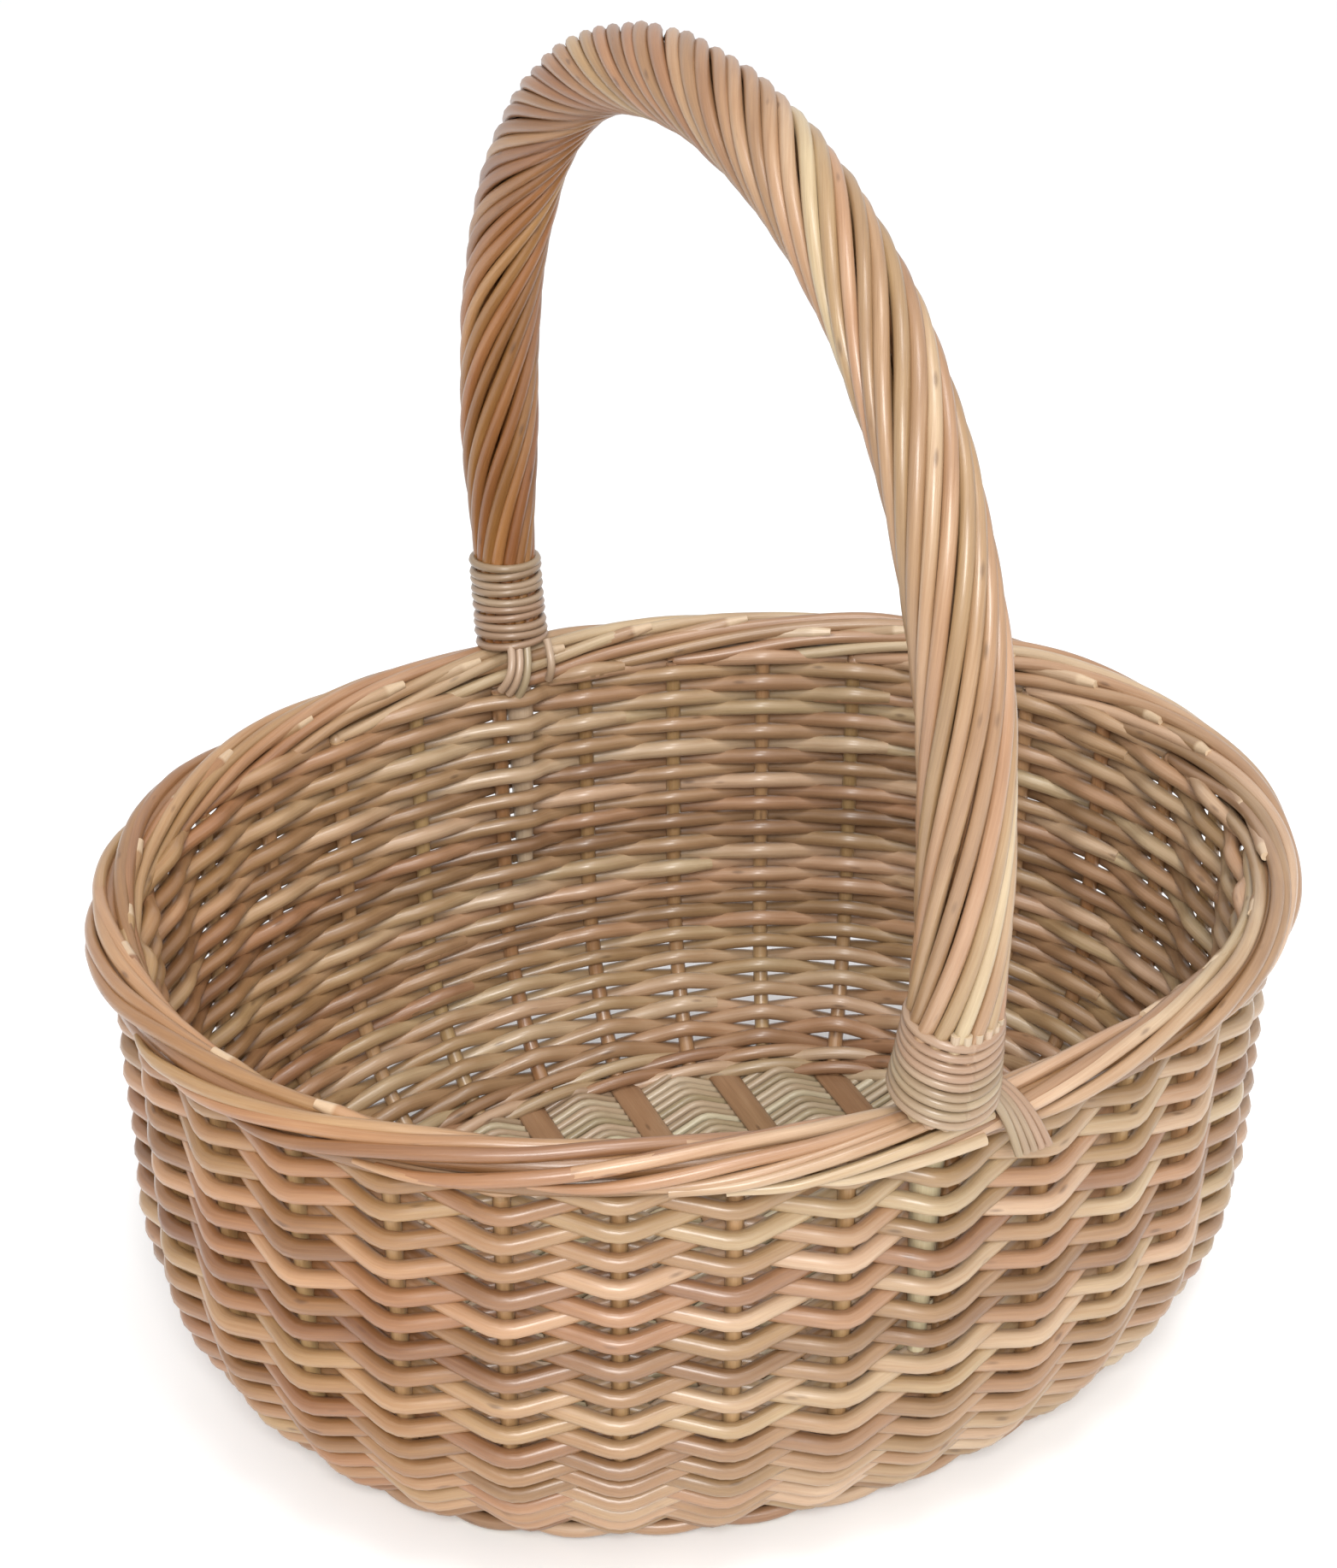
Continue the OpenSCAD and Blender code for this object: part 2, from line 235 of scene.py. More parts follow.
class Rods:
    """Collects round rods and makes one mesh of them."""

    def __init__(self, name, sides=10):
        self.name = name
        self.sides = sides
        self.verts, self.faces, self.smooth = [], [], []
        self.tone, self.grain, self.tip, self.painted_shade = [], [], [], []
        self.count = 0

    def _add(self, verts, faces, tone, grain, tip, painted_shade, soft):
        self.verts.append(verts)
        self.faces.extend([tuple(i + self.count for i in f) for f in faces])
        self.smooth.extend([soft] * len(faces))
        self.tone.append(np.full(len(verts), tone))
        self.grain.append(grain)
        self.tip.append(tip)
        self.painted_shade.append(painted_shade)
        self.count += len(verts)

    def rod(self, path, radius, out, tone=None, flat=1.0, closed=False, painted_shade=0.0, cut=0,
            seed=None):
        """A rod along path.

        out holds directions that the section is turned towards, and flat thins it that way. cut is
        the number of path points at its end that show bare wood. Rods with one seed share a hue.
        """
        path = np.asarray(path, float)
        n = len(path)
        m = self.sides
        radius = np.broadcast_to(np.asarray(radius, float), (n,))
        out = np.broadcast_to(np.asarray(out, float), (n, 3))
        tone = random_tone(0.5, 0.2) if tone is None else tone
        if closed:
            along = unit_rows(np.roll(path, -1, 0) - np.roll(path, 1, 0))
        else:
            along = unit_rows(np.gradient(path, axis=0))
        up = unit_rows(out - (out * along).sum(1)[:, None] * along)
        side = np.cross(along, up)
        a = np.arange(m) * TAU / m
        ca, sa = np.cos(a) * flat, np.sin(a)
        ring = (path[:, None] + radius[:, None, None]
                * (up[:, None] * ca[None, :, None] + side[:, None] * sa[None, :, None]))
        step = np.linalg.norm(np.diff(path, axis=0), axis=1)
        length = np.concatenate([[0], np.cumsum(step)])
        seed = rng.random(3) * GRAIN_SPREAD if seed is None else seed
        grain = np.stack([np.broadcast_to(length[:, None], (n, m)),
                          radius[:, None] * ca[None], radius[:, None] * sa[None]], -1) + seed
        quads = []
        for i in range(n if closed else n - 1):
            b0, b1 = i * m, ((i + 1) % n) * m
            for j in range(m):
                k = (j + 1) % m
                quads.append((b0 + j, b0 + k, b1 + k, b1 + j))
        # painted warm shade for each path point, stored as a mesh attribute
        painted_shade = np.broadcast_to(np.asarray(painted_shade, float), (n,))
        bare = np.repeat(np.where(np.arange(n) >= n - cut, BARE_WOOD, 0.0), m)
        self._add(ring.reshape(-1, 3), quads, tone, grain.reshape(-1, 3), bare,
                  np.repeat(painted_shade, m), True)
        if not closed:
            for end, flip in ((0, True), (n - 1, False)):
                face = tuple(range(m))
                self._add(ring[end], [face[::-1] if flip else face], tone, grain[end],
                          np.ones(m), np.full(m, painted_shade[end]), False)

    def build(self, mat, *nodes, slot="buff_willow"):
        mesh = bpy.data.meshes.new(self.name)
        verts = np.concatenate(self.verts) * MM
        mesh.from_pydata(verts.tolist(), [], self.faces)
        mesh.polygons.foreach_set("use_smooth", self.smooth)
        for name, values in (("tone", self.tone), ("tip", self.tip), ("painted_shade", self.painted_shade)):
            att = mesh.attributes.new(name, "FLOAT", "POINT")
            att.data.foreach_set("value", np.concatenate(values).astype(np.float32))
        att = mesh.attributes.new("grain", "FLOAT_VECTOR", "POINT")
        att.data.foreach_set("vector", np.concatenate(self.grain).astype(np.float32).ravel())
        mesh.materials.append(mat)
        mesh.update()
        obj = bpy.data.objects.new(self.name, mesh)
        bpy.context.scene.collection.objects.link(obj)
        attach(obj, "root")
        if nodes:
            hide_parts(*nodes)
        return obj


def random_tone(mean, spread):
    return float(np.clip(rng.normal(mean, spread), 0, 1))


# ---- materials ----
# scales of the patterns along a rod and across it
BROAD = (0.022, 0.12, 0.12)
STREAK = (0.035, 1.3, 1.3)
FINE = (0.12, 4.5, 4.5)
BUD = (0.045, 0.16, 0.16)
HUE = (0.004, 0.02, 0.02)
# what the rod's tone and the patterns add to its shade, and what is taken off the sum
TONE_PART, BROAD_PART, STREAK_PART, SHADE_OFF = 0.62, 0.5, 0.32, 0.22
FINE_PART = 0.34
FINE_DARK, BUD_DARK = 0.55, 0.42     # shares of the dark colour
BUD_EDGE = (0.05, 0.14)
END_LOW, END_HIGH = 0.92, 1.12       # bare wood, as shares of the light colour
GREENISH, PLAIN, PINKISH = (0.96, 1.02, 0.95), (1, 1, 1), (1.05, 0.97, 0.98)
PAINTED_SHADE_CAST = (0.78, 0.53, 0.25)     # what a rod keeps of its colour under full painted warm shade
COAT, COAT_ROUGH = 0.45, 0.24
BUMP_STRENGTH, BUMP_DEPTH = 0.55, 0.0004


def willow(name, dark, mid, light, rough, buds=0.5):
    """Willow: the rod's own tone, broad patches, fine lengthwise grain, buds, cut ends and painted
    warm shade.
    """
    mat = bpy.data.materials.new(name)
    mat.use_nodes = True
    nodes = mat.node_tree.nodes
    nodes.clear()
    output = nodes.new("ShaderNodeOutputMaterial")
    bsdf = nodes.new("ShaderNodeBsdfPrincipled")

    def link(a, b):
        mat.node_tree.links.new(a, b)

    def attribute(which, socket="Fac"):
        a = nodes.new("ShaderNodeAttribute")
        a.attribute_name = which
        return a.outputs[socket]

    def mapped(scale):
        m = nodes.new("ShaderNodeMapping")
        m.inputs["Scale"].default_value = scale
        link(grain, m.inputs["Vector"])
        return m.outputs[0]

    def noise(scale, detail, roughness=0.55):
        n = nodes.new("ShaderNodeTexNoise")
        n.inputs["Scale"].default_value = 1.0
        n.inputs["Detail"].default_value = detail
        n.inputs["Roughness"].default_value = roughness
        link(mapped(scale), n.inputs["Vector"])
        return n.outputs[0]

    def calc(op, a, b, clamp=False):
        n = nodes.new("ShaderNodeMath")
        n.operation = op
        n.use_clamp = clamp
        for sock, v in zip(n.inputs, (a, b)):
            if isinstance(v, (int, float)):
                sock.default_value = v
            else:
                link(v, sock)
        return n.outputs[0]

    def times(a, b):
        return calc("MULTIPLY", a, b)

    def ramp(fac, stops):
        r = nodes.new("ShaderNodeValToRGB")
        els = r.color_ramp.elements
        while len(els) < len(stops):
            els.new(0.5)
        for e, (pos, col) in zip(els, stops):
            e.position = pos
            e.color = (*col, 1)
        link(fac, r.inputs[0])
        return r.outputs[0]

    def mix(fac, a, b, kind="MIX"):
        m = nodes.new("ShaderNodeMix")
        m.data_type = "RGBA"
        m.blend_type = kind
        for sock, v in ((m.inputs[0], fac), (m.inputs[6], a), (m.inputs[7], b)):
            if isinstance(v, (int, float)):
                sock.default_value = v
            elif isinstance(v, tuple):
                sock.default_value = (*v, 1)
            else:
                link(v, sock)
        return m.outputs[2]

    def remap(value, to_low, to_high, low=0.0, high=1.0):
        r = nodes.new("ShaderNodeMapRange")
        r.inputs["From Min"].default_value = low
        r.inputs["From Max"].default_value = high
        r.inputs["To Min"].default_value = to_low
        r.inputs["To Max"].default_value = to_high
        link(value, r.inputs["Value"])
        return r.outputs[0]

    def share(colour, part):
        return tuple(c * part for c in colour)

    grain = attribute("grain", "Vector")
    broad = noise(BROAD, 2)
    streak = noise(STREAK, 4, 0.6)
    fine = noise(FINE, 3, 0.6)
    patterns = calc("ADD", times(broad, BROAD_PART), times(streak, STREAK_PART))
    shade = calc("ADD", times(attribute("tone"), TONE_PART), patterns)
    shade = calc("SUBTRACT", shade, SHADE_OFF, clamp=True)
    body = ramp(shade, ((0.05, dark), (0.45, mid), (0.85, light)))
    body = mix(times(fine, FINE_PART), body, share(dark, FINE_DARK))
    # buds: small darker spots, far apart along the rod
    cells = nodes.new("ShaderNodeTexVoronoi")
    cells.inputs["Scale"].default_value = 1.0
    link(mapped(BUD), cells.inputs["Vector"])
    bud = remap(cells.outputs["Distance"], buds, 0.0, *BUD_EDGE)
    body = mix(bud, body, share(dark, BUD_DARK))
    # each rod's own hue: some greenish, some pinkish
    hue = ramp(noise(HUE, 0), ((0.30, GREENISH), (0.5, PLAIN), (0.68, PINKISH)))
    body = mix(1.0, body, hue, "MULTIPLY")
    # painted warm shade: the -X side of the basket and the far half of the handle are painted darker
    # and more orange, as shade
    body = mix(attribute("painted_shade"), body, mix(1.0, body, PAINTED_SHADE_CAST, "MULTIPLY"))
    bare = ramp(fine, ((0.3, share(light, END_LOW)), (0.7, share(light, END_HIGH))))
    link(mix(attribute("tip"), body, bare), bsdf.inputs["Base Color"])
    link(remap(streak, rough - 0.09, rough + 0.13), bsdf.inputs["Roughness"])
    bsdf.inputs["Specular IOR Level"].default_value = 0.5
    bsdf.inputs["Coat Weight"].default_value = COAT
    bsdf.inputs["Coat Roughness"].default_value = COAT_ROUGH
    bump = nodes.new("ShaderNodeBump")
    bump.inputs["Strength"].default_value = BUMP_STRENGTH
    bump.inputs["Distance"].default_value = BUMP_DEPTH
    relief = calc("ADD", times(streak, 0.6), calc("ADD", times(fine, 0.4), times(bud, 0.8)))
    link(relief, bump.inputs["Height"])
    link(bump.outputs[0], bsdf.inputs["Normal"])
    link(bsdf.outputs[0], output.inputs[0])
    return mat


BUFF_DARK, BUFF_MID, BUFF_LIGHT = (0.17, 0.08, 0.034), (0.36, 0.215, 0.112), (0.56, 0.42, 0.275)
PALE_DARK, PALE_MID, PALE_LIGHT = (0.26, 0.17, 0.095), (0.46, 0.35, 0.225), (0.64, 0.54, 0.39)
BIND_DARK, BIND_MID, BIND_LIGHT = (0.16, 0.09, 0.045), (0.31, 0.205, 0.125), (0.48, 0.37, 0.25)
GOLD_DARK, GOLD_MID, GOLD_LIGHT = (0.13, 0.055, 0.018), (0.29, 0.15, 0.06), (0.46, 0.29, 0.14)

buff = willow("buff_willow", BUFF_DARK, BUFF_MID, BUFF_LIGHT, 0.4)
pale = willow("pale_willow", PALE_DARK, PALE_MID, PALE_LIGHT, 0.44, buds=0.3)
golden = willow("golden_willow", GOLD_DARK, GOLD_MID, GOLD_LIGHT, 0.4)
binding = willow("binding_willow", BIND_DARK, BIND_MID, BIND_LIGHT, 0.42, buds=0.2)

# ---- the handle's core, where it goes down through the wall ----
CORE_R = 5.0
CORE_TIP_R = 2.8
CORE_IN_WALL = 78.0                  # length of the core inside the weave
CORE_TAPER_END = 10                  # the core is at its full size this far below the wall's top
CORE_PASS = 10.0                     # how far round a siding rod swings wide for the core
CORE_SOFT = 6                        # length over which the swing grows above the core's tip
foot_run = FOOT_X * (SIDE_R + MID_OFF) / (SIDE_R + BORDER_OFF)
CORE_K = (HALF_RUN / 2 + foot_run) / STAKE_GAP - STAKE_PHASE
PAST_CORE = math.ceil(CORE_K)        # the stake that the core stands beside


def core_radius(s):
    places = (WALL_LEN - CORE_IN_WALL, WALL_LEN - CORE_TAPER_END)
    return np.interp(s, places, (CORE_TIP_R, CORE_R))


def core_bulge(k, s):
    """How much wider a rod swings at k to pass the core."""
    near = (k - CORE_K) % (STAKES / 2)
    near = np.minimum(near, STAKES / 2 - near) * STAKE_GAP
    beside = np.exp(-(near / CORE_PASS) ** 2)
    here = np.clip((s - (WALL_LEN - CORE_IN_WALL)) / CORE_SOFT, 0, 1)
    return beside * here * np.maximum(core_radius(s) + WEAVER_R - WEAVE_AMP, 0)


def past_core(k, s):
    """Moves the crossing next to a core away, so that a rod passes stake and core together."""
    half = STAKES / 2
    turn = np.floor(k / half) * half
    first = PAST_CORE - 1
    cross = (first + CORE_K) / 2
    places = (0, first, cross, CORE_K, PAST_CORE + 0.1, half)
    moved = (0, first, first + 0.5, PAST_CORE - 0.1, PAST_CORE + 0.1, half)
    warped = np.interp(k - turn, places, moved)
    inside = s > WALL_LEN - CORE_IN_WALL - 4
    return np.where(inside, warped + turn, k)


# ---- siding: rods woven in front of one stake and behind the next ----
STEPS = 10                           # path points to each stake space
SIDING_LEN = WALL_LEN - WALE_LEN
ROWS = round(SIDING_LEN / ROW_PITCH)
row_pitch = SIDING_LEN / ROWS
LOWER_ROWS = round(ROWS * 0.36)
MIDDLE_ROWS = round(ROWS * 0.62)     # rows up to the top of the middle band
BEND_3, BEND_5 = 0.11, 0.04          # shares of the faster waves, which sharpen a bend
JOIN_RUN = 0.42                      # stake spaces that a rod's ends run past each other
JOIN_SPAN = 0.7                      # stake spaces over which an end leaves the weave
JOIN_RISE = 0.9                      # how far an end lies above or below its row
JOIN_IN = 1.1                        # how far inwards an end lies
JOIN_FLAT = 0.12                     # how much less an end swings


def weave_depth(k, parity):
    """Depth of a weaving rod at k; positive is outwards."""
    c = np.cos
    return parity * (c(np.pi * k) + BEND_3 * c(3 * np.pi * k)) / (1 + BEND_3)


def weave_bend(k, parity):
    """Height of a weaving rod, bent more sharply at the stakes than its depth."""
    c = np.cos
    wave = c(np.pi * k) + BEND_3 * c(3 * np.pi * k) + BEND_5 * c(5 * np.pi * k)
    return parity * wave / (1 + BEND_3 + BEND_5)


def siding_row(group, row):
    """A rod woven once round the basket, whose ends lie side by side on the inside."""
    parity = 1 if row % 2 == 0 else -1
    start = int(rng.integers(0, STAKES))
    if (start % 2 == 0) == (parity > 0):
        start += 1                   # the ends meet where the rod passes inside a stake
    k0 = start - JOIN_RUN
    k1 = start + STAKES + JOIN_RUN
    n = int((k1 - k0) * STEPS) + 1
    k = np.linspace(k0, k1, n)
    t = np.linspace(0, 1, n)
    s_row = WALE_LEN + (row + 0.5) * row_pitch
    at = past_core(k, s_row)
    sag = np.interp(s_row, (WALE_LEN, CORNER_TOP), (LOW_SAG, WEAVE_SAG))
    head = np.clip(1 - (k - k0) / JOIN_SPAN, 0, 1)
    tail = np.clip(1 - (k1 - k) / JOIN_SPAN, 0, 1)
    s = (s_row - sag * weave_bend(at, parity) + wobble(n, 9, 0.4)
         + JOIN_RISE * head - JOIN_RISE * tail)
    depth = weave_depth(at, parity) * (WEAVE_AMP + core_bulge(k, s_row))
    depth = depth * (1 - JOIN_FLAT * (head + tail)) - JOIN_IN * (head + tail)
    r = WEAVER_R * rng.uniform(0.95, 1.04) * (1.06 - 0.13 * t) * (1 + wobble(n, 7, 0.05))
    r *= 1 - 0.3 * np.clip(head * 2 - 1, 0, 1) - 0.4 * np.clip(tail * 2 - 1, 0, 1)
    p, out = surf(round_u(k), s, MID_W - depth)
    # painted warm shade on the -X side
    group.rod(p, r, out, painted_shade=painted_shade_at(p))


bands = (Rods("lower_siding_rods"), Rods("middle_siding_rods"), Rods("upper_siding_rods"))
for row in range(ROWS + 1):          # the last one is tucked up under the border
    siding_row(bands[0 if row < LOWER_ROWS else 1 if row < MIDDLE_ROWS else 2], row)
bands[0].build(buff, "lower_siding")
bands[1].build(buff, "middle_siding")
bands[2].build(buff, "upper_siding")

# ---- upsett: rounds of heavier rods, each in front of two stakes and behind one ----
WALE_ROUNDS = 2
WALE_STRANDS = 3
WALE_FIRST = 3.4                     # length up the wall to the first round
WALE_PITCH = 6.4
WALE_TWIST = 1.5                     # how far a strand rises and falls over the others
WALE_OUT = 0.4

wale = Rods("upsett_rods")
for ring in range(WALE_ROUNDS):
    for strand in range(WALE_STRANDS):
        k = np.arange(STAKES * STEPS) / STEPS
        phase = TAU * (k - strand - 0.5) / WALE_STRANDS
        depth = WEAVE_AMP * (0.25 + 1.0 * np.cos(phase)) + WALE_OUT
        s = WALE_FIRST + ring * WALE_PITCH + WALE_TWIST * np.sin(phase)
        p, out = surf(round_u(k), s, MID_W - depth)
        wale.rod(p, WALE_R * (1 + 0.04 * np.sin(TAU * k / 13 + strand)), out, closed=True)
wale.build(buff, "upsett_wale")

# ---- stakes ----
STAKE_POINTS = 40
stake_tones = np.clip(rng.normal(0.5, 0.22, STAKES), 0, 1)
stakes = Rods("side_stake_rods")
for k in range(STAKES):
    s = np.linspace(1.0, WALL_LEN + 1.0, STAKE_POINTS)
    p, out = surf(np.full(len(s), round_u(k)), s, np.full(len(s), MID_W))
    r = STAKE_R * (1.06 - 0.08 * s / WALL_LEN)
    stakes.rod(p, r, out, tone=min(1, stake_tones[k] + 0.3))
stakes.build(golden, "side_stakes", slot="golden_willow")

# ---- border: each stake's rod is bent over, laid along the others and tucked in ----
BORDER_SPAN = 6.6                    # stake spaces that a border rod runs along
SPAN_SPREAD = 0.06
START_A = math.radians(225)          # where in the border a rod starts, and where it ends
END_A = math.radians(-32)
BORDER_POINTS = 76
LEAD_POINTS = 6                      # path points of the stake below the border
TUCK_FROM = 0.86                     # share of the rod before it is tucked in
TUCK_IN = 2.6

outer = Rods("border_rods")
for k in range(STAKES):
    n = BORDER_POINTS
    t = np.linspace(0, 1, n)
    span = BORDER_SPAN * (1 + SPAN_SPREAD * rng.normal())
    at = k - span * np.clip((t - 0.05) / 0.95, 0, 1)
    turn = START_A + (END_A - START_A) * np.clip((t - 0.03) / 0.97, 0, 1) + wobble(n, 3, 0.12)
    tuck = np.clip((t - TUCK_FROM) / (1 - TUCK_FROM), 0, 1)
    over_bend = 0.8 * np.exp(-((t - 0.12) / 0.08) ** 2)
    rho = BORDER_RING + over_bend - TUCK_IN * tuck ** 2 + wobble(n, 4, 0.5)
    p, out = ring_pt(round_u(at), turn, rho)
    lead_s = np.linspace(WALL_LEN - 6, WALL_LEN + 3.0, LEAD_POINTS)
    lead, lead_out = surf(np.full(LEAD_POINTS, round_u(k)), lead_s,
                          np.full(LEAD_POINTS, MID_W - 0.6))
    p = smooth(np.concatenate([lead, p]), 5)
    out = np.concatenate([lead_out, out])
    r = BORDER_R * rng.uniform(0.94, 1.06) * np.linspace(1.08, 0.94, len(p))
    r[-n:] *= 1 - 0.55 * tuck ** 1.5
    # painted warm shade on the -X side
    outer.rod(p, r, out, tone=stake_tones[k], painted_shade=painted_shade_at(p))
outer.build(buff, "border_outer_rods", "border_inner_rods")

CUT_POINTS = 24
CUT_BARE = 5                         # path points of bare wood at a cut end
CUT_FROM = math.radians(150)
CUT_INSIDE = 3.0                     # how far below the other rods a cut rod starts

cut_ends = Rods("border_cut_ends")
for k in range(STAKES):
    t = np.linspace(0, 1, CUT_POINTS)
    at = k + 0.3 - rng.uniform(0.9, 1.2) * t
    turn = CUT_FROM - np.radians(rng.uniform(5, 45) * t)
    rho = BORDER_RING - CUT_INSIDE + rng.uniform(3.0, 4.6) * t ** 0.8
    p, out = ring_pt(round_u(at), turn, rho)
    r = BORDER_R * (1.08 - 0.45 * np.clip((t - 0.78) / 0.22, 0, 1))
    # painted warm shade on the -X side
    cut_ends.rod(p, r, out, tone=stake_tones[k], painted_shade=painted_shade_at(p), cut=CUT_BARE)
cut_ends.build(buff, "border_rod_ends")

# two rods inside the border close it to light
FILLER_POINTS = 240
FILLERS = ((90, 2.2, 4.0), (270, 2.6, 3.9))   # angle, distance from the centre line, radius

filler = Rods("border_filler_rods")
for angle, rho, r in FILLERS:
    n = FILLER_POINTS
    p, out = ring_pt(np.arange(n) / n, np.full(n, math.radians(angle)), np.full(n, rho))
    # the filler rods block light, and their dark tone of the golden willow is painted shade inside
    # the border
    filler.rod(p, r, out, tone=0.2, closed=True)
filler.build(golden, slot="golden_willow")

# ---- base ----
SLATS = 15
SLAT_W = 11.5
SLAT_T = 3.0
SLAT_PITCH = 2 * BASE_A / (SLATS + 0.6)
SLAT_POINTS = 40
SLAT_INTO_WALE = 2.0
BASE_OFF = BASE_A - BORDER_A
BASE_B = BORDER_B + BASE_OFF         # half the width of the base
BASE_ROD_R = 1.6
BASE_ROD_PITCH = 4.3
BASE_ROD_STEP = 2.4                  # length of rod to a path point
BASE_ROD_INTO_WALE = 1.5
BASE_BEND_3 = 0.08
BASE_MID = BASE_T / 2
BASE_RISE = SLAT_T / 2 + BASE_ROD_R + 0.5


def oval_half(x, off):
    """Half the oval's width at x."""
    x = np.abs(x)
    side = x < (SIDE_R + off) * math.cos(JOIN_A)
    flat = SIDE_Y + np.sqrt(np.maximum((SIDE_R + off) ** 2 - x * x, 0))
    end = np.sqrt(np.maximum((END_R + off) ** 2 - (x - END_X) ** 2, 0))
    return np.where(side, flat, end)


slats = Rods("base_slat_strips", sides=12)
for i in range(SLATS):
    n = SLAT_POINTS
    x = (i - (SLATS - 1) / 2) * SLAT_PITCH
    half = float(oval_half(x, BASE_OFF)) + SLAT_INTO_WALE
    lift = wobble(n, 3, 0.25)
    p = np.stack([np.full(n, x) + wobble(n, 2, 0.4), np.linspace(-half, half, n),
                  BASE_MID + lift], -1)
    slats.rod(p, SLAT_W / 2, (0, 0, 1), flat=SLAT_T / SLAT_W)
slats.build(buff, "base_cross_slats")

base_rods = Rods("base_weave_rods", sides=8)
base_rows = int(2 * BASE_B / BASE_ROD_PITCH)
xs = np.linspace(0, BASE_A, 600)     # places where the base's width is compared with a rod's
for i in range(base_rows):
    y0 = (i - (base_rows - 1) / 2) * BASE_ROD_PITCH
    inside = oval_half(xs, BASE_OFF) > abs(y0)
    half = float(xs[inside].max()) + BASE_ROD_INTO_WALE
    n = max(int(2 * half / BASE_ROD_STEP), 8)
    x = np.linspace(-half, half, n)
    k = x / SLAT_PITCH
    wave = np.cos(np.pi * k) + BASE_BEND_3 * np.cos(3 * np.pi * k)
    rise = wave / (1 + BASE_BEND_3) * BASE_RISE
    p = np.stack([x, y0 + wobble(n, 6, 0.18), BASE_MID + rise], -1)
    base_rods.rod(p, BASE_ROD_R * (1 + wobble(n, 4, 0.04)), (0, 0, 1))
base_rods.build(pale, "base_weave", slot="pale_willow")

# ---- handle: a bow of leg, shoulder and crown arcs, the same on both sides ----
LEG_LEAN = math.radians(12)
SHOULDER_R = 147.0
SHOULDER_A = math.radians(9)
CROWN_A = math.radians(72)
FOOT_Y = BORDER_B + BORDER_OFF
FOOT_Z = BORDER_TOP + GAP
CROWN_K = (1 - math.sin(CROWN_A)) / math.cos(CROWN_A)
BOW_RISE = HANDLE_TOP - HANDLE_R - FOOT_Z
LEG_R = ((BOW_RISE - SHOULDER_R * (math.sin(CROWN_A) - math.sin(SHOULDER_A))
          - CROWN_K * (FOOT_Y - SHOULDER_R * (math.cos(SHOULDER_A) - math.cos(CROWN_A))))
         / (math.sin(LEG_LEAN) + math.sin(SHOULDER_A)
            + CROWN_K * (math.cos(SHOULDER_A) - math.cos(LEG_LEAN))))
LEG_C = np.array([FOOT_Y - LEG_R * math.cos(LEG_LEAN), FOOT_Z + LEG_R * math.sin(LEG_LEAN)])
SHOULDER_C = LEG_C + (LEG_R - SHOULDER_R) * np.array([math.cos(SHOULDER_A), math.sin(SHOULDER_A)])
CROWN_R = (SHOULDER_C[0] + SHOULDER_R * math.cos(CROWN_A)) / math.cos(CROWN_A)
CROWN_Z = SHOULDER_C[1] + SHOULDER_R * math.sin(CROWN_A) - CROWN_R * math.sin(CROWN_A)
LEG_RUN = LEG_R * (SHOULDER_A + LEG_LEAN)
SHOULDER_RUN = SHOULDER_R * (CROWN_A - SHOULDER_A)
CROWN_RUN = CROWN_R * (math.pi / 2 - CROWN_A)
BOW_HALF = LEG_RUN + SHOULDER_RUN + CROWN_RUN


def bow(d):
    """Points of the bow's centre line at lengths d from the near foot, and the outward directions."""
    d = np.asarray(d, float)
    far = d > BOW_HALF
    t = np.where(far, 2 * BOW_HALF - d, d)
    leg = t < LEG_RUN
    shoulder = (t >= LEG_RUN) & (t < LEG_RUN + SHOULDER_RUN)
    a = np.where(leg, -LEG_LEAN + t / LEG_R,
                 np.where(shoulder, SHOULDER_A + (t - LEG_RUN) / SHOULDER_R,
                          CROWN_A + (t - LEG_RUN - SHOULDER_RUN) / CROWN_R))
    cy = np.where(leg, LEG_C[0], np.where(shoulder, SHOULDER_C[0], 0.0))
    cz = np.where(leg, LEG_C[1], np.where(shoulder, SHOULDER_C[1], CROWN_Z))
    r = np.where(leg, LEG_R, np.where(shoulder, SHOULDER_R, CROWN_R))
    sign = np.where(far, 1.0, -1.0)
    level = sign * np.cos(a)
    away = sign * (cy + r * np.cos(a))
    ct, st = math.cos(HANDLE_TURN), math.sin(HANDLE_TURN)
    out = np.stack([-level * st, level * ct, np.sin(a)], -1)
    p = np.stack([-away * st, away * ct, cz + r * np.sin(a)], -1)
    return p, out

STRANDS = 15
STRAND_R = 2.3
STRAND_RING = HANDLE_R - STRAND_R
INNER_STRANDS = 9
INNER_RING = 0.63                    # ring of the inner strands, as a share of the outer one
BINDER_D = 3.0
BINDER_PITCH = BINDER_D + GAP
NEAR_ROUNDS, FAR_ROUNDS = 9, 10
COLLAR_LEN = FAR_ROUNDS * BINDER_PITCH + 2 * GAP
NEAR_NECK, FAR_NECK = 11.6, 8.6      # ring of strands inside each collar
NECK_START = 10                      # how far inside a collar the strands start to spread
NEAR_SPREAD, FAR_SPREAD = 26, 60     # length over which they spread
# twist of the strands, in degrees, at shares of the way from the near foot to the far one
TWIST_PLACES = (0, 0.1, 0.22, 0.33, 0.45, 0.55, 0.7, 0.85, 1.0)
TWIST = (18, 12, 15, 20, 25, 26, 23, 18, 15)
# how much painted warm shade the strands get, from just before the top to the far foot
PAINTED_SHADE_PLACES, PAINTED_SHADE = (0.42, 0.62, 1), (0, 0.75, 1)

